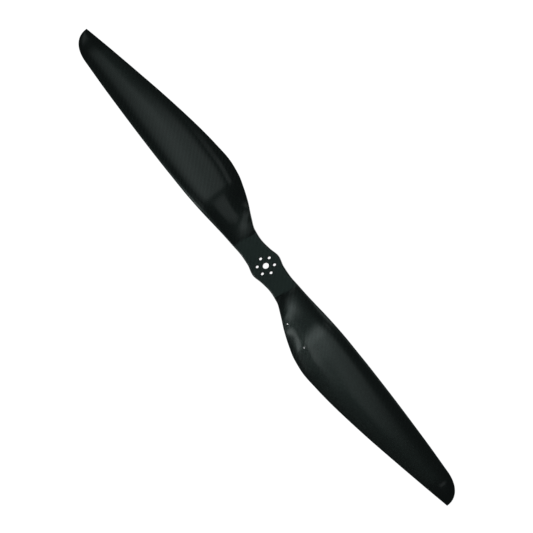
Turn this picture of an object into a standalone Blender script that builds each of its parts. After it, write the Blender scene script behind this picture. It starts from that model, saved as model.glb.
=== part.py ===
"""A two-blade carbon-fibre multirotor propeller, 16 x 5.5 in, turning counter-clockwise seen from above.

Metres, +Z up. The span lies along X, the hub axis is Z and the hub's bottom face is at z = 0.
Blade 1 points along +X with its leading edge towards +Y. Blade 2 is blade 1 turned half a turn about Z.
"""

from math import atan, cos, exp, pi, radians, sin, sqrt, tan

import bmesh
import bpy
import numpy as np
from mathutils import Matrix

# ---- driving dimensions ----
TIP_RADIUS = 0.2032
PITCH = 0.1397
HUB_HEIGHT = 0.008
HUB_FLAT_RADIUS = 0.021
BORE_DIAMETER = 0.0044
BOLT_DIAMETER = 0.0022
BOLT_CIRCLE = 0.0118
BOLT_COUNT = 6

# Planform: distance from the span axis to each edge, at a few radii.
EDGE_RADII = (0, 0.008, 0.016, 0.024, 0.032, 0.042, 0.052, 0.062, 0.0735, 0.086, 0.1, 0.13, 0.16, 0.183)
LEADING_EDGE = (
    *(0.0112, 0.0096, 0.0092, 0.0098, 0.0104, 0.0114, 0.0125),
    *(0.0134, 0.0141, 0.0145, 0.0149, 0.0152, 0.015, 0.0144),
)
TRAILING_EDGE = (
    *(0.0112, 0.0094, 0.0084, 0.0091, 0.0121, 0.0166, 0.0202),
    *(0.0229, 0.024, 0.023, 0.0213, 0.0161, 0.0098, 0.0047),
)
TIP_START = EDGE_RADII[-1]
TIP_LENGTH = TIP_RADIUS - TIP_START
TIP_ROUNDNESS = 2.3

# Side view: section thickness, half height of the moulded edge, and height of the blade's twist axis.
THICK_RADII = (0, 0.021, 0.024, 0.035, 0.05, 0.075, 0.1, 0.13, 0.16, 0.185, 0.2032)
THICKNESS = (0.008, 0.008, 0.0074, 0.0058, 0.0045, 0.0037, 0.003, 0.00245, 0.002, 0.00165, 0.0012)
THIN_EDGE = 0.00035
EDGE_HALF_HEIGHT = (0.0028, 0.0028, 0.0024, 0.0013, 0.0006) + (THIN_EDGE,) * 6
AXIS_LIFT = 0.0025
LIFT_END = 0.062
CAMBER_SHARE = 0.04
TWIST_START = 0.0216
ROOT_TWIST_LENGTH = 0.031
ROOT_TWIST_POWER = 1.1
TIP_DROOP = 0.0025
HUB_EDGE_RADIUS = 0.0012
NOSE_WIDTH = 0.009
NOSE_SHARE = 0.38
TAIL_WIDTH = 0.014
TAIL_SHARE = 0.58

# Laminate and inner pieces.
SKIN = 0.00035
EDGE_LIP = 0.0005
BOND_GAP = 0.00006
GAP = 0.00012
FOAM_GAP = 0.0002
HUB_PLY = 0.0004
HUB_PLY_END = 0.0205
HUB_CORE_END = 0.022
CAP_ROOT = 0.0006
CAP_TIP = 0.00012
CAP_END = 0.1655
CAP_RADII = (0, 0.01, 0.0225, 0.042, 0.07, 0.12, CAP_END)
CAP_FRONT = (0.0078, 0.0074, 0.0055, 0.0046, 0.0042, 0.0067, 0.0088)
CAP_BACK = (-0.0078, -0.0071, -0.0048, -0.0043, -0.0032, 0.0008, 0.0046)
FOAM_START = 0.0225
FOAM_END = 0.1785
TIP_FILL_START = 0.179
TIP_FILL_END = 0.2005

# Stations along one blade, from the hub centre to the tip.
STATIONS = (
    [0, 0.004, 0.008, 0.012, 0.016, HUB_PLY_END, HUB_FLAT_RADIUS, HUB_CORE_END, FOAM_START]
    + [0.0245, 0.027, 0.03, 0.034, 0.038, 0.043, 0.049, 0.056, 0.064, 0.073, 0.084, 0.098]
    + [0.115, 0.134, 0.15, CAP_END, FOAM_END, TIP_FILL_START]
    + [TIP_START + TIP_LENGTH * sin(radians(a)) ** (2 / TIP_ROUNDNESS) for a in (0, 16, 31, 45, 58)]
    + [TIP_RADIUS - d for d in (0.0012, 0.0005, 0.00015, 0.00002)]
)
SKIN_POINTS = 12


# ---- shape of the propeller, as functions of radius and chord position ----
def curve(radii, values, r):
    """Smooth curve through the points, without overshoot."""
    x = np.array(radii, float)
    y = np.array(values, float)
    step = np.diff(x)
    slope = np.diff(y) / step
    tangent = np.zeros(len(x))
    for i in range(1, len(x) - 1):
        if slope[i - 1] * slope[i] > 0:
            tangent[i] = 2 / (1 / slope[i - 1] + 1 / slope[i])
    tangent[-1] = slope[-1]
    i = min(max(int(np.searchsorted(x, r)) - 1, 0), len(step) - 1)
    t = min(max((r - x[i]) / step[i], 0), 1)
    start = (1 + 2 * t) * (1 - t) ** 2 * y[i] + t * (1 - t) ** 2 * step[i] * tangent[i]
    end = t * t * (3 - 2 * t) * y[i + 1] + t * t * (t - 1) * step[i] * tangent[i + 1]
    return float(start + end)


def smooth(a, b, r):
    t = min(max((r - a) / (b - a), 0), 1)
    return t * t * (3 - 2 * t)


def leading_edge(r):
    if r <= TIP_START:
        return curve(EDGE_RADII, LEADING_EDGE, r)
    along = (r - TIP_START) / TIP_LENGTH
    return LEADING_EDGE[-1] * (1 - along**TIP_ROUNDNESS) ** (1 / TIP_ROUNDNESS)


def trailing_edge(r):
    if r <= TIP_START:
        return curve(EDGE_RADII, TRAILING_EDGE, r)
    return TRAILING_EDGE[-1] * (TIP_RADIUS - r) / TIP_LENGTH


def edge_slope(edge, r):
    """How steeply an edge runs across the span. It is steep only on the rounded tip."""
    step = 0.00001
    return (edge(r + step) - edge(r)) / step if r < TIP_RADIUS - 2 * step else 0


def blade_angle(r):
    if r <= TWIST_START:
        return 0
    onset = ((r - TWIST_START) / ROOT_TWIST_LENGTH) ** ROOT_TWIST_POWER
    return atan(PITCH / (2 * pi * r)) * (1 - exp(-onset))


def axis_height(r):
    """Height of the twist axis: level with the hub's middle, then lifted, then drooping at the tip."""
    lift = AXIS_LIFT * smooth(HUB_FLAT_RADIUS, LIFT_END, r)
    droop = TIP_DROOP * (max(r - TIP_START, 0) / TIP_LENGTH) ** 2
    return HUB_HEIGHT / 2 + lift - droop


def middle_height(r, y, lead, trail):
    """Height of the surface midway between top and bottom, at distance y from the span axis."""
    share = min(max((lead - y) / (lead + trail), 0), 1)
    bow = CAMBER_SHARE * (lead + trail) * 4 * share * (1 - share) * smooth(HUB_FLAT_RADIUS, LIFT_END, r)
    return axis_height(r) + y * tan(blade_angle(r)) + bow


def half_height(r, share, width):
    """Half the section's height at a share of its chord, which is width long."""
    edge = curve(THICK_RADII, EDGE_HALF_HEIGHT, r)
    from_lead = share * width / sqrt(1 + edge_slope(leading_edge, r) ** 2)
    from_trail = (1 - share) * width
    corner = 1 - min(min(from_lead, from_trail) / HUB_EDGE_RADIUS, 1)
    boxy = sqrt(1 - corner**2)
    nose = 1 - min(from_lead / min(NOSE_WIDTH, NOSE_SHARE * width), 1)
    tail = 1 - min(from_trail / min(TAIL_WIDTH, TAIL_SHARE * width), 1)
    wing = sqrt(1 - nose**2) * (1 - tail**2)
    blend = smooth(HUB_FLAT_RADIUS, 0.05, r)
    fullness = boxy * (1 - blend) + wing * blend
    return edge + (curve(THICK_RADII, THICKNESS, r) / 2 - edge) * fullness


def lip(r):
    """Width of the bonded edge, where the two skins meet. It shrinks with the chord at the tip."""
    return min(EDGE_LIP, 0.2 * (leading_edge(r) + trailing_edge(r)))


def cavity_half_height(r, share):
    width = leading_edge(r) + trailing_edge(r) - 2 * lip(r)
    return max(half_height(r, share, width) - SKIN, BOND_GAP / 2)


def chord_shares():
    """Shares of the chord from the leading edge, closer together at both edges."""
    return [(1 - cos(pi * k / (SKIN_POINTS - 1))) / 2 for k in range(SKIN_POINTS)]


class Section:
    """The propeller cut at one radius: heights of the cavity between the skins, at any y."""

    def __init__(self, r):
        self.r = r
        self.lead = leading_edge(r)
        self.trail = trailing_edge(r)
        self.inner_lead = self.lead - lip(r)
        self.inner_trail = self.trail - lip(r)
        shares = chord_shares()[::-1]
        self.ys = np.array([self.at(share) for share in shares])
        self.middles = np.array([self.middle(y) for y in self.ys])
        self.halves = np.array([cavity_half_height(r, share) for share in shares])

    def at(self, share):
        return self.inner_lead - share * (self.inner_lead + self.inner_trail)

    def middle(self, y):
        return middle_height(self.r, y, self.lead, self.trail)

    def height(self, y, side, inset):
        """Height of a surface this deep inside the cavity wall. side is 1 for the top, -1 for the bottom."""
        middle = np.interp(y, self.ys, self.middles)
        return middle + side * (np.interp(y, self.ys, self.halves) - inset)


# ---- solids ----
def collection_named(name, hidden=False):
    made = bpy.data.collections.new(name)
    bpy.context.scene.collection.children.link(made)
    made.hide_render = hidden
    return made


def material(name, colour, roughness, coat=0.0):
    made = bpy.data.materials.new(name)
    made.use_nodes = True
    shader = made.node_tree.nodes["Principled BSDF"]
    shader.inputs["Base Color"].default_value = (*colour, 1)
    shader.inputs["Roughness"].default_value = roughness
    shader.inputs["Metallic"].default_value = 0
    shader.inputs["Coat Weight"].default_value = coat
    made.diffuse_color = (*colour, 1)
    return made


def loft(name, loops, look):
    """A closed solid through equally long loops, each out along one face and back along the other."""
    made = bmesh.new()
    rings = [[made.verts.new(point) for point in loop] for loop in loops]
    count = len(rings[0])
    for near, far in zip(rings, rings[1:]):
        for k in range(count):
            after = (k + 1) % count
            made.faces.new((near[k], near[after], far[after], far[k]))
    for ring in (rings[0], rings[-1]):
        for k in range(count // 2 - 1):
            made.faces.new((ring[k], ring[k + 1], ring[count - 2 - k], ring[count - 1 - k]))
    bmesh.ops.recalc_face_normals(made, faces=made.faces)
    mesh = bpy.data.meshes.new(name)
    made.to_mesh(mesh)
    made.free()
    mesh.shade_smooth()
    mesh.set_sharp_from_angle(angle=radians(35))
    mesh.materials.append(look)
    made_object = bpy.data.objects.new(name, mesh)
    PROPELLER.objects.link(made_object)
    return made_object


def turned(loop, sign):
    """The loop as it is on blade 1, or turned half a turn onto blade 2."""
    return [(sign * x, sign * y, z) for x, y, z in loop]


def stations_between(start, end):
    return [r for r in STATIONS if start - 1e-9 <= r <= end + 1e-9]


def skin_loop(r, side):
    """Cross-section of one skin on blade 1, from the trailing edge over the outside and back inside."""
    section = Section(r)
    width = section.lead + section.trail
    joint = side * BOND_GAP / 2
    over = [(r, -section.trail, section.middle(-section.trail) + joint)]
    for share in chord_shares()[::-1]:
        y = section.lead - share * width
        over.append((r, y, section.middle(y) + side * half_height(r, share, width)))
    over.append((r, section.lead, section.middle(section.lead) + joint))
    back = [(r, section.inner_lead, section.middle(section.inner_lead) + joint)]
    back += [(r, y, section.height(y, side, 0)) for y in section.ys[::-1]]
    back.append((r, -section.inner_trail, section.middle(-section.inner_trail) + joint))
    return over + back


def both_ways(loop_of, end):
    """Loops from the tip of blade 2 to the tip of blade 1, all in the same order round the section."""
    radii = stations_between(0, end)
    far = [turned(loop_of(r, -1), -1) for r in radii[:0:-1]]
    return far + [loop_of(r, 1) for r in radii]


def span_loft(name, blade_loop, end, look):
    """A solid that runs through the hub into both blades."""

    def loop_of(r, sign):
        loop = blade_loop(r)
        return loop if sign > 0 else mirrored_order(loop)

    return loft(name, both_ways(loop_of, end), look)


def mirrored_order(loop):
    """On blade 2 the leading edge is on the other side, so the points run the other way round."""
    half = len(loop) // 2
    return loop[:half][::-1] + loop[half:][::-1]


def skin(name, side, look):
    return span_loft(name, lambda r: skin_loop(r, side), TIP_RADIUS, look)


def plate_loop(r, side, low, high, top_inset, bottom_inset, count=5):
    """A layer lying against one side of the cavity, between two distances from the span axis."""
    section = Section(r)
    ys = np.linspace(low, high, count)
    outer = [(r, y, section.height(y, side, top_inset)) for y in ys]
    inner = [(r, y, section.height(y, side, bottom_inset)) for y in ys[::-1]]
    return outer + inner


def ply_inset(r):
    """Depth taken by a hub ply where there is one."""
    return (HUB_PLY + GAP) * (1 - smooth(HUB_PLY_END + 0.0004, HUB_PLY_END + 0.006, r))


def cap_thickness(r):
    return CAP_ROOT + (CAP_TIP - CAP_ROOT) * min(r / CAP_END, 1)


def cap_edges(r):
    """The cap covers the drilled hub and narrows onto the thickest part of the blade."""
    return curve(CAP_RADII, CAP_BACK, r), curve(CAP_RADII, CAP_FRONT, r)


def cap_loop(r, side):
    low, high = cap_edges(r)
    inset = GAP + ply_inset(r)
    return plate_loop(r, side, low, high, inset, inset + cap_thickness(r))


def hub_ply_loop(r, side):
    section = Section(r)
    return plate_loop(r, side, 0.0014 - section.inner_trail, section.inner_lead - 0.0014, GAP, GAP + HUB_PLY)


def under_cap(r):
    return 2 * GAP + ply_inset(r) + cap_thickness(r)


def hub_core_loop(r):
    section = Section(r)
    low = GAP - section.inner_trail
    high = section.inner_lead - GAP
    depth = under_cap(r)
    top = [(r, y, section.middle(y) + HUB_HEIGHT / 2 - SKIN - depth) for y in (low, 0, high)]
    bottom = [(r, y, section.middle(y) - HUB_HEIGHT / 2 + SKIN + depth) for y in (high, 0, low)]
    return top + bottom


def strip_front(r):
    """Share of the chord where the trailing strip begins. It lies further back at the narrow root."""
    return 0.86 - 0.085 * smooth(FOAM_START, 0.05, r)


def foam_loop(r):
    """Fills the cavity between roving and strip, with a step down under each cap."""
    section = Section(r)
    low = section.at(strip_front(r) - 0.015)
    high = section.at(0.13)
    cap_low, cap_high = cap_edges(r)
    capped = r <= CAP_END + 1e-9
    depth = under_cap(r) + FOAM_GAP - GAP if capped else FOAM_GAP
    beside = [(y, FOAM_GAP) for y in np.linspace(low, cap_low - GAP, 4)]
    beneath = [(y, depth) for y in np.linspace(cap_low - GAP, cap_high + GAP, 4)]
    before = [(y, FOAM_GAP) for y in np.linspace(cap_high + GAP, high, 3)]
    if not capped:
        beside[-1] = (cap_low - 2 * GAP, FOAM_GAP)
        before[0] = (cap_high + 2 * GAP, FOAM_GAP)
    across = beside + beneath + before
    top = [(r, y, section.height(y, 1, inset)) for y, inset in across]
    bottom = [(r, y, section.height(y, -1, inset)) for y, inset in across[::-1]]
    return top + bottom


def strip_loop(r, first, last, count=5):
    """A spanwise strip between two shares of the cavity's chord."""
    section = Section(r)
    ys = [section.at(first + (last - first) * k / (count - 1)) for k in range(count)]
    top = [(r, y, section.height(y, 1, GAP)) for y in ys]
    bottom = [(r, y, section.height(y, -1, GAP)) for y in ys[::-1]]
    return top + bottom


def blade_pair(name, loop_of, start, end, look):
    """The same solid in each blade."""
    loops = [loop_of(r) for r in stations_between(start, end)]
    first = loft(name + "_1", loops, look)
    second = loft(name + "_2", loops, look)
    second.data.transform(Matrix.Rotation(pi, 4, "Z"))
    return first, second


# ---- holes ----
def cylinder(name, diameter, x, y, segments):
    made = bmesh.new()
    bmesh.ops.create_cone(
        made,
        cap_ends=True,
        segments=segments,
        radius1=diameter / 2,
        radius2=diameter / 2,
        depth=4 * HUB_HEIGHT,
    )
    mesh = bpy.data.meshes.new(name)
    made.to_mesh(mesh)
    made.free()
    cutter = bpy.data.objects.new(name, mesh)
    cutter.location = (x, y, HUB_HEIGHT / 2)
    cutter.rotation_euler.z = radians(4)
    cutter.hide_render = True
    cutter.display_type = "WIRE"
    CUTTERS.objects.link(cutter)
    return cutter


def hub_holes():
    holes = [cylinder("bore_cutter", BORE_DIAMETER, 0, 0, 28)]
    for k in range(BOLT_COUNT):
        angle = 2 * pi * k / BOLT_COUNT
        x = BOLT_CIRCLE / 2 * cos(angle)
        y = BOLT_CIRCLE / 2 * sin(angle)
        holes.append(cylinder(f"bolt_cutter_{k + 1}", BOLT_DIAMETER, x, y, 20))
    return holes


def drill(piece, holes):
    for hole in holes:
        cut = piece.modifiers.new(hole.name, "BOOLEAN")
        cut.operation = "DIFFERENCE"
        cut.solver = "EXACT"
        cut.object = hole


def clear_scene():
    for old in list(bpy.data.objects):
        bpy.data.objects.remove(old, do_unlink=True)


clear_scene()
PROPELLER = collection_named("propeller")
CUTTERS = collection_named("cutters", hidden=True)
woven = material("woven_carbon", (0.012, 0.016, 0.015), 0.22, coat=1.0)
woven_under = material("woven_carbon_underside", (0.011, 0.014, 0.014), 0.25, coat=1.0)
ply_look = material("carbon_ply", (0.02, 0.02, 0.021), 0.5)
tow = material("unidirectional_carbon", (0.025, 0.025, 0.027), 0.45)
resin_tow = material("resin_rich_roving", (0.03, 0.029, 0.028), 0.4)
foam = material("rigid_foam", (0.72, 0.68, 0.55), 0.9)
laminate = material("solid_laminate", (0.018, 0.019, 0.02), 0.5)

upper_skin = skin("upper_skin", 1, woven)
lower_skin = skin("lower_skin", -1, woven_under)
upper_cap = span_loft("upper_spar_cap", lambda r: cap_loop(r, 1), CAP_END, tow)
lower_cap = span_loft("lower_spar_cap", lambda r: cap_loop(r, -1), CAP_END, tow)
top_ply = span_loft("hub_top_ply", lambda r: hub_ply_loop(r, 1), HUB_PLY_END, ply_look)
bottom_ply = span_loft("hub_bottom_ply", lambda r: hub_ply_loop(r, -1), HUB_PLY_END, ply_look)
hub_core = span_loft("hub_core", hub_core_loop, HUB_CORE_END, laminate)
blade_pair("foam_core", foam_loop, FOAM_START, FOAM_END, foam)
blade_pair("leading_roving", lambda r: strip_loop(r, 0.03, 0.115), FOAM_START, FOAM_END, resin_tow)
blade_pair("trailing_strip", lambda r: strip_loop(r, strip_front(r), 0.91), FOAM_START, FOAM_END, resin_tow)
blade_pair("tip_fill", lambda r: strip_loop(r, 0.05, 0.86, 9), TIP_FILL_START, TIP_FILL_END, laminate)

HOLES = hub_holes()
for drilled in (upper_skin, lower_skin, upper_cap, lower_cap, top_ply, bottom_ply, hub_core):
    drill(drilled, HOLES)
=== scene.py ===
"""How the two-blade carbon propeller looks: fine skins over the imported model, materials, studio and camera.

Metres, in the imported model's own frame: the span lies along X, the hub axis is Z and the hub's bottom face
is at z = 0. Blade 1 points along +X, its leading edge towards +Y. Blade 2 is blade 1 turned half a turn.
"""

from math import cos, pi, radians, sin

import bmesh
import bpy
import numpy as np
from mathutils import Matrix, Vector


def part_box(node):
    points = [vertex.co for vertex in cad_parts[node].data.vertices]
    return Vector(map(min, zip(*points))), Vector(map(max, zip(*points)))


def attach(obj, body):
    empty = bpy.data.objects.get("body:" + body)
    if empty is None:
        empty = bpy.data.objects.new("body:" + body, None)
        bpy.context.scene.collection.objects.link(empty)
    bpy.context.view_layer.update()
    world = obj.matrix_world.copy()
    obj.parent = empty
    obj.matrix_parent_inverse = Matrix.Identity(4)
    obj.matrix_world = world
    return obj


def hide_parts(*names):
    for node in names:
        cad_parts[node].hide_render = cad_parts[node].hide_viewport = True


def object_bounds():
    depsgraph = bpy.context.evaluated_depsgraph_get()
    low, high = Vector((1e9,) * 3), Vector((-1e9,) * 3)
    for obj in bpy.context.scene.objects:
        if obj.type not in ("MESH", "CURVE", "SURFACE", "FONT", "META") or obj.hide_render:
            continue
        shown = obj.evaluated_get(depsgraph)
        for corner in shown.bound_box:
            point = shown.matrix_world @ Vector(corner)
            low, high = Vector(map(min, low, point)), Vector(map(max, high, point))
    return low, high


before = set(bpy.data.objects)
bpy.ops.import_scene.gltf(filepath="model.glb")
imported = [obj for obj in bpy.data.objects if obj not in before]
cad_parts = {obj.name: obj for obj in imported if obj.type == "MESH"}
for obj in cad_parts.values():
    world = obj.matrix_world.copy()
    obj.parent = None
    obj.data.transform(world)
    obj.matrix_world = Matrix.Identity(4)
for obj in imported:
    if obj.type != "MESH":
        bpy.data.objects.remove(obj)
cad_low, cad_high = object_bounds()

# ---- main sizes: the tip radius from the frame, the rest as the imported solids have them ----
TIP_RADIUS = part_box("upper_skin")[1].x + 0.00002
HUB_HEIGHT = 0.008
PITCH = 0.1397
BORE_DIAMETER = 0.0044
BOLT_DIAMETER = 0.0022
BOLT_CIRCLE = 0.0118
BOLT_COUNT = 6

# ---- the propeller's shape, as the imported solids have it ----
EDGE_RADII = (0, 0.008, 0.016, 0.024, 0.032, 0.042, 0.052, 0.062, 0.0735, 0.086, 0.1, 0.13, 0.16, 0.183)
LEADING_EDGE = (
    *(0.0112, 0.0096, 0.0092, 0.0098, 0.0104, 0.0114, 0.0125),
    *(0.0134, 0.0141, 0.0145, 0.0149, 0.0152, 0.015, 0.0144),
)
TRAILING_EDGE = (
    *(0.0112, 0.0094, 0.0084, 0.0091, 0.0121, 0.0166, 0.0202),
    *(0.0229, 0.024, 0.023, 0.0213, 0.0161, 0.0098, 0.0047),
)
TIP_START = EDGE_RADII[-1]
TIP_LENGTH = TIP_RADIUS - TIP_START
TIP_ROUNDNESS = 2.3
THICK_RADII = (0, 0.021, 0.024, 0.035, 0.05, 0.075, 0.1, 0.13, 0.16, 0.185, 0.2032)
THICKNESS = (0.008, 0.008, 0.0074, 0.0058, 0.0045, 0.0037, 0.003, 0.00245, 0.002, 0.00165, 0.0012)
THIN_EDGE = 0.00035
EDGE_HALF_HEIGHT = (0.0028, 0.0028, 0.0024, 0.0013, 0.0006) + (THIN_EDGE,) * 6
HUB_FLAT_RADIUS = 0.021
AXIS_LIFT = 0.0025
LIFT_END = 0.062
CAMBER_SHARE = 0.04
TWIST_START = 0.0216
ROOT_TWIST_LENGTH = 0.031
ROOT_TWIST_POWER = 1.1
TIP_DROOP = 0.0025
HUB_EDGE_RADIUS = 0.0012
NOSE_WIDTH = 0.009
NOSE_SHARE = 0.38
TAIL_WIDTH = 0.014
TAIL_SHARE = 0.58
SKIN = 0.00035
EDGE_LIP = 0.0005

# ---- what the fine skins add ----
CLEARANCE = 0.00003
JOINT_GAP = 0.00002
EDGE_ROUND = 0.0003
HOLE_CHAMFER = 0.00012

# ---- surface detail ----
TOW_WIDTH = 0.0009
CLAMP_START = 0.0218
CLAMP_END = 0.0245
DRILLED_RADIUS = 0.0082
PLY_THICKNESS = 0.00025
COAT = 0.62
COAT_ROUGHNESS = 0.055


def curve(radii, values, r):
    """Smooth curve through the points, without overshoot, at every radius in r."""
    x = np.array(radii, float)
    y = np.array(values, float)
    step = np.diff(x)
    slope = np.diff(y) / step
    tangent = np.zeros(len(x))
    rising = slope[:-1] * slope[1:] > 0
    tangent[1:-1][rising] = 2 / (1 / slope[:-1][rising] + 1 / slope[1:][rising])
    tangent[-1] = slope[-1]
    i = np.clip(np.searchsorted(x, r) - 1, 0, len(step) - 1)
    t = np.clip((r - x[i]) / step[i], 0, 1)
    start = (1 + 2 * t) * (1 - t) ** 2 * y[i] + t * (1 - t) ** 2 * step[i] * tangent[i]
    return start + t * t * (3 - 2 * t) * y[i + 1] + t * t * (t - 1) * step[i] * tangent[i + 1]


def smooth(a, b, r):
    t = np.clip((r - a) / (b - a), 0, 1)
    return t * t * (3 - 2 * t)


def leading_edge(r):
    along = np.clip((r - TIP_START) / TIP_LENGTH, 0, 1)
    rounded = (1 - along**TIP_ROUNDNESS) ** (1 / TIP_ROUNDNESS)
    return curve(EDGE_RADII, LEADING_EDGE, r) * rounded


def trailing_edge(r):
    along = np.clip((r - TIP_START) / TIP_LENGTH, 0, 1)
    return curve(EDGE_RADII, TRAILING_EDGE, r) * (1 - along)


def blade_angle(r):
    onset = (np.maximum(r - TWIST_START, 0) / ROOT_TWIST_LENGTH) ** ROOT_TWIST_POWER
    return np.arctan(PITCH / (2 * pi * np.maximum(r, TWIST_START))) * (1 - np.exp(-onset))


def middle_height(r, y):
    """Height midway between top and bottom of blade 1, at radius r and distance y from the span axis."""
    lead = leading_edge(r)
    chord = lead + trailing_edge(r)
    share = np.clip((lead - y) / chord, 0, 1)
    raised = smooth(HUB_FLAT_RADIUS, LIFT_END, r)
    droop = TIP_DROOP * (np.maximum(r - TIP_START, 0) / TIP_LENGTH) ** 2
    bow = CAMBER_SHARE * chord * 4 * share * (1 - share) * raised
    return HUB_HEIGHT / 2 + AXIS_LIFT * raised - droop + y * np.tan(blade_angle(r)) + bow


def half_height(r, from_lead, from_trail):
    """Half the section's height at these distances from its two edges."""
    width = from_lead + from_trail
    edge = curve(THICK_RADII, EDGE_HALF_HEIGHT, r)
    corner = 1 - np.minimum(np.minimum(from_lead, from_trail) / HUB_EDGE_RADIUS, 1)
    nose = 1 - np.minimum(inset(r, from_lead) / np.minimum(NOSE_WIDTH, NOSE_SHARE * width), 1)
    tail = 1 - np.minimum(from_trail / np.minimum(TAIL_WIDTH, TAIL_SHARE * width), 1)
    blend = smooth(HUB_FLAT_RADIUS, 0.05, r)
    boxy = np.sqrt(1 - corner**2)
    wing = np.sqrt(1 - nose**2) * (1 - tail**2)
    fullness = boxy * (1 - blend) + wing * blend
    return edge + (curve(THICK_RADII, THICKNESS, r) / 2 - edge) * fullness


def inset(r, from_lead):
    """Distance square to the leading edge, which runs steeply across the span on the rounded tip."""
    step = 0.00001
    before = np.minimum(r, TIP_RADIUS - 2 * step)
    slope = (leading_edge(before + step) - leading_edge(before)) / step
    return from_lead / np.sqrt(1 + slope**2)


def rounded(distance):
    """0 at an edge, 1 past its rounding, along a quarter circle."""
    return np.sqrt(1 - (1 - np.clip(distance / EDGE_ROUND, 0, 1)) ** 2)


# ---- fine skins ----
def fine_stations():
    """Radii of the sections, closer together where the surface turns quickly."""
    turns = np.linspace(0, radians(88), 44)[1:]
    tip = TIP_START + TIP_LENGTH * np.sin(turns) ** (2 / TIP_ROUNDNESS)
    last = TIP_RADIUS - np.array((0.00012, 0.00006, 0.00002))
    parts = (
        np.arange(0, 0.0205, 0.0012),
        np.arange(0.0205, 0.06, 0.0007),
        np.arange(0.06, TIP_START, 0.002),
        (TIP_START,),
        tip[tip < last[0] - 0.00002],
        last,
    )
    return np.concatenate(parts)


def section_outline(r, side):
    """One skin's section on blade 1: over the outside from trailing to leading edge, then back inside."""
    lead = leading_edge(r) - CLEARANCE / 2
    trail = trailing_edge(r) - CLEARANCE / 2
    chord = lead + trail
    turn = np.linspace(0, pi / 2, 6)
    corner = min(EDGE_ROUND, 0.2 * chord) * (1 - np.cos(turn))
    middle = corner[-1] + (chord - 2 * corner[-1]) * (1 - np.cos(np.linspace(0, pi, 40)[1:-1])) / 2
    from_trail = np.concatenate((corner, middle, (chord - corner)[::-1]))
    from_lead = chord - from_trail
    y = from_trail - trail
    edge = rounded(from_trail) * rounded(inset(r, from_lead))
    height = (half_height(r, from_lead, from_trail) - CLEARANCE) * edge + JOINT_GAP / 2
    outside = np.stack((y, middle_height(r, y) + side * height), 1)
    lip = min(EDGE_LIP, 0.2 * chord)
    along = lip + (chord - 2 * lip) * (1 - np.cos(np.linspace(0, pi, 16))) / 2
    hollow = np.maximum(half_height(r, chord - along, along) - SKIN, JOINT_GAP / 2)
    y = (along - trail)[::-1]
    inside = np.stack((y, middle_height(r, y) + side * hollow[::-1]), 1)
    return outside, inside


def skin_mesh(name, side):
    """A closed skin from the tip of blade 2 to that of blade 1. The attribute rim is 1 at its outline."""
    made = bmesh.new()
    rim = made.verts.layers.float.new("rim")
    rings = []
    for sign, radii in ((-1, fine_stations()[:0:-1]), (1, fine_stations())):
        for r in radii:
            outside, inside = section_outline(np.array(r), side)
            if sign < 0:
                outside, inside = outside[::-1], inside[::-1]
            ring = [made.verts.new((sign * r, sign * y, z)) for y, z in np.concatenate((outside, inside))]
            for k, vert in enumerate(ring):
                near = min(k, len(outside) - 1 - k) if k < len(outside) else 0
                vert[rim] = max(0, 1 - near / 8)
            rings.append(ring)
    count = len(rings[0])
    for near, far in zip(rings, rings[1:]):
        for k in range(count):
            after = (k + 1) % count
            made.faces.new((near[k], near[after], far[after], far[k]))
    for ring in (rings[0], rings[-1]):
        made.faces.new(ring)
    bmesh.ops.recalc_face_normals(made, faces=made.faces)
    mesh = bpy.data.meshes.new(name)
    made.to_mesh(mesh)
    made.free()
    return mesh


def lathe(made, profile, x, y, segments):
    """Adds a closed turned shape to made. profile lists (radius, height) from bottom to top."""
    rings = []
    for radius, z in profile:
        turns = [2 * pi * (k + 0.3) / segments for k in range(segments)]
        rings.append([made.verts.new((x + radius * cos(t), y + radius * sin(t), z)) for t in turns])
    for low, high in zip(rings, rings[1:]):
        for k in range(segments):
            after = (k + 1) % segments
            made.faces.new((low[k], low[after], high[after], high[k]))
    made.faces.new(rings[0][::-1])
    made.faces.new(rings[-1])


def hole_cutter():
    """All seven hub holes as one cutter, with a small chamfer at both hub faces."""
    made = bmesh.new()
    bolts = [2 * pi * k / BOLT_COUNT for k in range(BOLT_COUNT)]
    holes = [(BORE_DIAMETER / 2, 0, 0, 72)]
    holes += [(BOLT_DIAMETER / 2, BOLT_CIRCLE / 2 * cos(a), BOLT_CIRCLE / 2 * sin(a), 48) for a in bolts]
    past = 0.001
    for radius, x, y, segments in holes:
        wide = radius + HOLE_CHAMFER
        profile = [
            (wide + past, -past),
            (wide, CLEARANCE),
            (radius, CLEARANCE + HOLE_CHAMFER),
            (radius, HUB_HEIGHT - CLEARANCE - HOLE_CHAMFER),
            (wide, HUB_HEIGHT - CLEARANCE),
            (wide + past, HUB_HEIGHT + past),
        ]
        lathe(made, profile, x, y, segments)
    mesh = bpy.data.meshes.new("hole_cutter")
    made.to_mesh(mesh)
    made.free()
    cutter = bpy.data.objects.new("hole_cutter", mesh)
    bpy.context.scene.collection.objects.link(cutter)
    return cutter


def fine_skin(name, side, node, cutter):
    """The fine skin that stands for a packed one, drilled and smooth."""
    skin = bpy.data.objects.new(name, skin_mesh(name, side))
    bpy.context.scene.collection.objects.link(skin)
    cut = skin.modifiers.new("holes", "BOOLEAN")
    cut.operation = "DIFFERENCE"
    cut.solver = "EXACT"
    cut.object = cutter
    graph = bpy.context.evaluated_depsgraph_get()
    drilled = bpy.data.meshes.new_from_object(skin.evaluated_get(graph), depsgraph=graph)
    skin.modifiers.clear()
    skin.data = drilled
    drilled.shade_smooth()
    drilled.set_sharp_from_angle(angle=radians(32))
    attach(skin, "root")
    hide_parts(node)
    return skin


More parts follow.
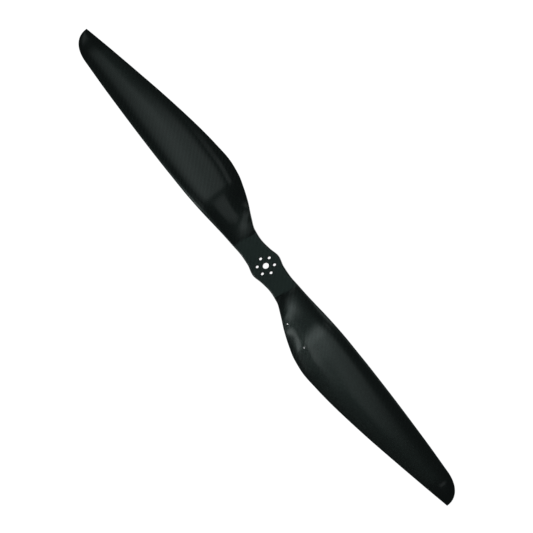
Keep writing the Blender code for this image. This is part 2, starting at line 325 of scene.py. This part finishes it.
# ---- materials ----
class Look:
    """A material built from nodes. place is the point on the object, in metres."""

    def __init__(self, name):
        self.material = bpy.data.materials.new(name)
        self.material.use_nodes = True
        self.tree = self.material.node_tree
        self.surface = self.tree.nodes["Principled BSDF"]
        self.place = self.add("ShaderNodeTexCoord").outputs["Object"]
        split = self.add("ShaderNodeSeparateXYZ")
        self.link(self.place, split.inputs[0])
        self.x, self.y, self.z = split.outputs

    def add(self, kind, **settings):
        node = self.tree.nodes.new(kind)
        for key, value in settings.items():
            setattr(node, key, value)
        return node

    def link(self, source, target):
        self.tree.links.new(source, target)

    def put(self, value, target):
        if isinstance(value, bpy.types.NodeSocket):
            self.link(value, target)
        else:
            target.default_value = value

    def math(self, operation, *values, clamp=False):
        node = self.add("ShaderNodeMath", operation=operation, use_clamp=clamp)
        for value, target in zip(values, node.inputs):
            self.put(value, target)
        return node.outputs[0]

    def ramp(self, value, low, high, to_low=0.0, to_high=1.0):
        node = self.add("ShaderNodeMapRange", interpolation_type="SMOOTHSTEP")
        for given, target in zip((value, low, high, to_low, to_high), node.inputs):
            self.put(given, target)
        return node.outputs[0]

    def mix(self, factor, first, second):
        node = self.add("ShaderNodeMix", data_type="FLOAT")
        for value, target in zip((factor, first, second), (node.inputs[0], node.inputs[2], node.inputs[3])):
            self.put(value, target)
        return node.outputs[0]

    def colour(self, factor, first, second):
        node = self.add("ShaderNodeMix", data_type="RGBA")
        for value, target in zip((factor, first, second), (node.inputs[0], node.inputs[6], node.inputs[7])):
            self.put((*value, 1) if isinstance(value, tuple) else value, target)
        return node.outputs[2]

    def stretched(self, x, y, z):
        """The point on the object, with each axis scaled."""
        node = self.add("ShaderNodeVectorMath", operation="MULTIPLY")
        self.link(self.place, node.inputs[0])
        node.inputs[1].default_value = (x, y, z)
        return node.outputs[0]

    def noise(self, scale, detail=2.0, place=None):
        node = self.add("ShaderNodeTexNoise")
        self.link(place or self.place, node.inputs["Vector"])
        node.inputs["Scale"].default_value = scale
        node.inputs["Detail"].default_value = detail
        return node.outputs["Fac"]

    def bump(self, height, distance, strength=1.0, below=None):
        node = self.add("ShaderNodeBump")
        node.inputs["Strength"].default_value = strength
        node.inputs["Distance"].default_value = distance
        self.link(height, node.inputs["Height"])
        if below:
            self.link(below, node.inputs["Normal"])
        return node.outputs["Normal"]

    def set(self, **sockets):
        for name, value in sockets.items():
            value = (*value, 1) if isinstance(value, tuple) and len(value) == 3 else value
            self.put(value, self.surface.inputs[name.replace("_", " ")])
        return self


def scaled(tint, factor):
    return tuple(factor * t for t in tint)


def twill(look, u, v):
    """2/2 twill: (1 where the tow along u is on top, height of the tow there, both from 0 to 1)."""
    cell_u = look.math("FLOOR", u)
    cell_v = look.math("FLOOR", v)
    step = look.math("FLOORED_MODULO", look.math("ADD", cell_u, cell_v), 4.0)
    over = look.math("LESS_THAN", step, 1.5)
    part_u = look.math("FRACT", u)
    part_v = look.math("FRACT", v)
    across = look.mix(over, part_u, part_v)
    along = look.math("ADD", look.mix(over, part_v, part_u), look.math("MODULO", step, 2.0))
    round_across = look.math("SINE", look.math("MULTIPLY", across, pi))
    round_along = look.math("SINE", look.math("MULTIPLY", along, pi / 2))
    lifted = look.math("MULTIPLY_ADD", round_along, 0.45, 0.55)
    return over, look.math("MULTIPLY", round_across, lifted)


def woven_carbon(name, tint, gloss):
    """Clear-coated twill carbon. The clamping faces of the hub are dulled, and the rim is worn."""
    look = Look(name)
    facing = look.add("ShaderNodeSeparateXYZ")
    look.link(look.add("ShaderNodeNewGeometry").outputs["Normal"], facing.inputs[0])
    wall = look.math("LESS_THAN", look.math("ABSOLUTE", facing.outputs[2]), 0.6)
    flat = look.ramp(look.math("ABSOLUTE", facing.outputs[2]), 0.985, 0.9985)
    u = look.math("DIVIDE", look.x, TOW_WIDTH)
    v = look.math("DIVIDE", look.mix(wall, look.y, look.z), TOW_WIDTH)
    over, height = twill(look, u, v)
    fibres_u = look.noise(1.0, 3.0, look.stretched(300, 14000, 14000))
    fibres_v = look.noise(1.0, 3.0, look.stretched(14000, 300, 300))
    fibres = look.mix(over, fibres_v, fibres_u)
    cloud = look.noise(28.0, 3.0)
    # Large soft patches for a painted warm reflection.
    warm_reflection_patch = look.noise(9.0, 1.0, look.stretched(1, 2.2, 1))
    rim = look.add("ShaderNodeAttribute", attribute_name="rim").outputs["Fac"]
    wear = look.math("MULTIPLY", look.ramp(rim, 0.55, 1.0), look.ramp(look.noise(420.0, 4.0), 0.42, 0.62))

    hub = look.ramp(look.math("ABSOLUTE", look.x), CLAMP_END, CLAMP_START)
    clamp_face = look.math("MULTIPLY", hub, flat)
    x_squared = look.math("POWER", look.x, 2.0)
    y_squared = look.math("POWER", look.y, 2.0)
    from_axis = look.math("SQRT", look.math("ADD", x_squared, y_squared))
    # Walls of the hub holes. Their colour is partly the matte drilled fibre and partly painted shade inside
    # the holes.
    drilled = look.math("MULTIPLY", wall, look.math("LESS_THAN", from_axis, DRILLED_RADIUS))

    shade = look.math("MULTIPLY_ADD", fibres, 0.35, 0.62)
    # Painted sheen: tows lying one way are painted lighter than those lying the other way, as if they caught
    # the light. Each tow is also darker towards its sides and at the ends of its float.
    shade = look.math("MULTIPLY", shade, look.mix(over, 0.86, 1.1))
    shade = look.math("MULTIPLY", shade, look.math("MULTIPLY_ADD", height, 0.4, 0.7))
    shade = look.math("MULTIPLY", shade, look.math("MULTIPLY_ADD", cloud, 0.3, 0.85))
    fibre = look.colour(shade, scaled(tint, 0.25), tint)
    fibre = look.colour(look.math("MULTIPLY", wear, 0.5), fibre, scaled(tint, 2.2))
    sanded = look.math("MULTIPLY_ADD", look.noise(330.0, 3.0), 2.2, 0.1)
    sanded = look.math("ADD", sanded, look.math("MULTIPLY", over, 0.35))
    bare = look.colour(sanded, scaled(tint, 1.3), scaled(tint, 2.6))
    fibre = look.colour(clamp_face, fibre, bare)
    # Painted shade: the hole walls are darkened to near black, on top of their matte drilled finish.
    fibre = look.colour(drilled, fibre, scaled(tint, 0.3))
    # Painted reflection: the patches are tinted warmer, as if a warm thing nearby were reflected.
    reflected_warm_tint = tuple(t * share for t, share in zip(tint, (0.95, 0.85, 0.82)))
    fibre = look.colour(look.math("MULTIPLY", warm_reflection_patch, 0.35), fibre, reflected_warm_tint)
    look.set(Base_Color=fibre, Metallic=1.0)
    rough = look.mix(clamp_face, look.math("MULTIPLY_ADD", fibres, 0.12, gloss), 0.5)
    look.set(Roughness=look.mix(drilled, rough, 0.9))
    look.set(Anisotropic=0.3)
    tangent = look.add("ShaderNodeCombineXYZ")
    look.link(look.math("SUBTRACT", 1.0, over), tangent.inputs[0])
    look.link(over, tangent.inputs[1])
    look.link(tangent.outputs[0], look.surface.inputs["Tangent"])
    look.set(Normal=look.bump(height, 0.00004, 0.35))

    look.set(Coat_Roughness=COAT_ROUGHNESS)
    worn = look.math("SUBTRACT", COAT, look.math("MULTIPLY", wear, 0.4))
    look.set(Coat_Weight=look.mix(look.math("MAXIMUM", clamp_face, drilled), worn, 0.0))
    ripple = look.math("MULTIPLY_ADD", height, 0.02, look.noise(240.0, 2.0))
    look.link(look.bump(ripple, 0.00002, 0.5), look.surface.inputs["Coat Normal"])
    return look.material


def laid_up(name, tint, along, layers=0.0, rough=0.35):
    """Bare carbon with fibres along one axis, or stacked in layers of this thickness."""
    look = Look(name)
    fibres = look.noise(1.0, 4.0, look.stretched(*along))
    cloud = look.noise(90.0, 3.0)
    shade = look.math("MULTIPLY", fibres, look.math("MULTIPLY_ADD", cloud, 0.6, 0.7))
    if layers:
        part = look.math("FRACT", look.math("DIVIDE", look.z, layers))
        line = look.ramp(look.math("ABSOLUTE", look.math("SUBTRACT", part, 0.5)), 0.38, 0.5)
        shade = look.math("SUBTRACT", shade, look.math("MULTIPLY", line, 0.35), clamp=True)
    look.set(Base_Color=look.colour(shade, scaled(tint, 0.3), scaled(tint, 1.7)))
    look.set(Roughness=look.math("MULTIPLY_ADD", fibres, 0.3, rough), Specular_IOR_Level=0.3)
    look.set(Normal=look.bump(fibres, 0.00004, 0.5))
    return look.material


def rigid_foam(name):
    """Fine closed-cell foam, cream coloured, with darker resin-wet patches."""
    look = Look(name)
    cells = look.add("ShaderNodeTexVoronoi", feature="DISTANCE_TO_EDGE")
    look.link(look.place, cells.inputs["Vector"])
    cells.inputs["Scale"].default_value = 2600
    pore = look.ramp(cells.outputs["Distance"], 0.02, 0.12)
    stain = look.ramp(look.noise(60.0, 4.0), 0.45, 0.7)
    cream = look.colour(stain, (0.74, 0.68, 0.52), (0.5, 0.42, 0.27))
    look.set(Base_Color=look.colour(pore, (0.42, 0.36, 0.24), cream))
    look.set(Roughness=look.math("MULTIPLY_ADD", pore, 0.1, 0.8))
    look.set(Normal=look.bump(pore, 0.0001, 0.6))
    return look.material


# ---- studio ----
CEILING = 1.2
PANEL_STEP = 0.003
PANEL_FADE = 0.75
PANEL_COLOUR = (0.92, 1, 0.99)
LAMP_SIZE = 0.045
LAMP_POWER = 0.18
# Name, centre, size and radiance. All but the tip strip and the two windows were set by a least-squares fit of
# the reflections, run outside this script and rounded.
PANELS = (
    ("box_right", (-0.26, 0.65), (0.4, 1.1), 0.48),
    ("box_blade_2_tip", (-1.2, 0.27), (0.65, 0.8), 0.36),
    ("fill_right", (-0.38, 0.31), (0.8, 0.65), 0.24),
    ("fill_right_far", (0.07, 0.62), (0.3, 0.4), 0.46),
    ("box_left", (-0.13, -0.71), (0.38, 0.85), 1.27),
    ("box_left_outer", (-0.03, -0.41), (0.45, 0.58), 0.44),
    ("box_low_left", (-0.37, -0.96), (0.43, 0.44), 0.21),
    ("fill_left", (-0.39, -1.67), (0.75, 1.28), 0.31),
    ("box_overhead", (-0.12, -0.07), (0.28, 0.26), 0.29),
    ("strip_blade_1_tip", (0.45, -0.25), (0.12, 0.5), 0.4),
    ("window_right", (-0.2, 1.42), (0.45, 0.5), 0.4),
    ("window_left", (-0.42, -1.55), (0.3, 0.9), 1.7),
)
LAMP_PLACE = (-0.18, -1.16)


def softbox(name, centre, size, radiance, lift):
    """A level panel over the table, clear to other light, as bright as radiance in its middle."""
    half_x, half_y = size[0] / 2, size[1] / 2
    mesh = bpy.data.meshes.new(name)
    corners = [(-half_x, -half_y, 0), (-half_x, half_y, 0), (half_x, half_y, 0), (half_x, -half_y, 0)]
    mesh.from_pydata(corners, [], [(0, 1, 2, 3)])
    look = Look(name)
    glow = radiance
    for place, half in ((look.x, half_x), (look.y, half_y)):
        share = look.math("DIVIDE", look.math("ABSOLUTE", place), half)
        glow = look.math("MULTIPLY", look.ramp(share, 1.0, 1.0 - PANEL_FADE), glow)
    lit = look.add("ShaderNodeEmission")
    look.put((*PANEL_COLOUR, 1), lit.inputs["Color"])
    look.put(glow, lit.inputs["Strength"])
    both = look.add("ShaderNodeAddShader")
    look.link(lit.outputs[0], both.inputs[0])
    look.link(look.add("ShaderNodeBsdfTransparent").outputs[0], both.inputs[1])
    look.link(both.outputs[0], look.tree.nodes["Material Output"].inputs["Surface"])
    mesh.materials.append(look.material)
    box = bpy.data.objects.new(name, mesh)
    box.location = (*centre, CEILING + lift)
    box.visible_camera = False
    bpy.context.scene.collection.objects.link(box)


def pale_floor():
    """A large pale table top with a light of its own, like a light table."""
    mesh = bpy.data.meshes.new("table_top")
    half = 12.0
    corners = [(-half, -half, 0), (half, -half, 0), (half, half, 0), (-half, half, 0)]
    mesh.from_pydata(corners, [], [(0, 1, 2, 3)])
    top = bpy.data.objects.new("table_top", mesh)
    top.location.z = cad_low.z - 0.0002
    look = Look("pale_table")
    look.set(Base_Color=(0.9, 0.9, 0.9), Roughness=0.9, Specular_IOR_Level=0.1)
    look.set(Emission_Color=(1.0, 1.0, 1.0), Emission_Strength=0.97)
    mesh.materials.append(look.material)
    bpy.context.scene.collection.objects.link(top)


def surroundings():
    """Dim to light and reflections, pale behind the table."""
    world = bpy.data.worlds.new("studio")
    bpy.context.scene.world = world
    world.use_nodes = True
    tree = world.node_tree
    room = tree.nodes["Background"]
    room.inputs["Color"].default_value = (0.9, 1.0, 1.0, 1)
    room.inputs["Strength"].default_value = 0.08
    seen = tree.nodes.new("ShaderNodeBackground")
    seen.inputs["Color"].default_value = (1, 1, 1, 1)
    seen.inputs["Strength"].default_value = 1.0
    path = tree.nodes.new("ShaderNodeLightPath")
    choose = tree.nodes.new("ShaderNodeMixShader")
    tree.links.new(path.outputs["Is Camera Ray"], choose.inputs[0])
    tree.links.new(room.outputs[0], choose.inputs[1])
    tree.links.new(seen.outputs[0], choose.inputs[2])
    tree.links.new(choose.outputs[0], tree.nodes["World Output"].inputs["Surface"])


def lamp():
    """A small bare lamp at the camera's lower left, which glints near the root of blade 1."""
    light = bpy.data.lights.new("lamp", "AREA")
    light.shape = "DISK"
    light.size = LAMP_SIZE
    light.energy = LAMP_POWER
    holder = bpy.data.objects.new("lamp", light)
    holder.visible_camera = False
    holder.location = (*LAMP_PLACE, CEILING - 0.01)
    holder.rotation_mode = "QUATERNION"
    holder.rotation_quaternion = holder.location.to_track_quat("Z", "Y")
    bpy.context.scene.collection.objects.link(holder)


def studio():
    pale_floor()
    surroundings()
    for k, (name, centre, size, radiance) in enumerate(PANELS):
        softbox(name, centre, size, radiance, PANEL_STEP * k)
    lamp()


SPAN_ANGLE = radians(52.83)
VIEW_LEAN = radians(5)
AIM = (0.0006, 0.0001, 0.004)
CAMERA_DISTANCE = 3.006
LENS = 300


def camera():
    """Looks down on the hub, leaning a little over blade 1, which points to the lower right."""
    data = bpy.data.cameras.new("camera")
    data.lens = LENS
    data.sensor_width = 36
    data.clip_start = 0.1
    data.clip_end = 60
    back = Vector((sin(VIEW_LEAN), 0, cos(VIEW_LEAN)))
    right = Vector((cos(SPAN_ANGLE), sin(SPAN_ANGLE), 0))
    right = (right - right.dot(back) * back).normalized()
    up = back.cross(right)
    eye = bpy.data.objects.new("camera", data)
    bpy.context.scene.collection.objects.link(eye)
    turn = Matrix((right, up, back)).transposed().to_4x4()
    eye.matrix_world = Matrix.Translation(Vector(AIM) + back * CAMERA_DISTANCE) @ turn
    bpy.context.scene.camera = eye


# ---- assembly ----
cutter = hole_cutter()
upper = fine_skin("upper_shell", 1, "upper_skin", cutter)
lower = fine_skin("lower_shell", -1, "lower_skin", cutter)
bpy.data.objects.remove(cutter, do_unlink=True)
upper.data.materials.append(woven_carbon("carbon_twill_upper", (0.034, 0.046, 0.043), 0.2))
lower.data.materials.append(woven_carbon("carbon_twill_lower", (0.032, 0.042, 0.04), 0.24))

spanwise = (150, 9000, 9000)
crosswise = (9000, 400, 9000)
stacked = (900, 900, 5000)
looks = {
    "hub_core": laid_up("stacked_laminate", (0.012, 0.013, 0.014), stacked, PLY_THICKNESS, rough=0.7),
    "hub_top_ply": laid_up("top_ply", (0.022, 0.023, 0.024), crosswise),
    "hub_bottom_ply": laid_up("bottom_ply", (0.022, 0.023, 0.024), crosswise),
    "upper_spar_cap": laid_up("upper_tow", (0.026, 0.026, 0.028), spanwise),
    "lower_spar_cap": laid_up("lower_tow", (0.026, 0.026, 0.028), spanwise),
    "leading_roving": laid_up("leading_tow", (0.03, 0.029, 0.027), spanwise),
    "trailing_strip": laid_up("trailing_tow", (0.03, 0.029, 0.027), spanwise),
    "tip_fill": laid_up("tip_laminate", (0.022, 0.023, 0.024), stacked, layers=PLY_THICKNESS),
    "foam_core": rigid_foam("cream_foam"),
}
for node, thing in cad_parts.items():
    kind = node.removesuffix("_1").removesuffix("_2")
    if kind in looks:
        thing.data.materials.clear()
        thing.data.materials.append(looks[kind])

studio()
camera()
bpy.context.scene.view_settings.view_transform = "Standard"
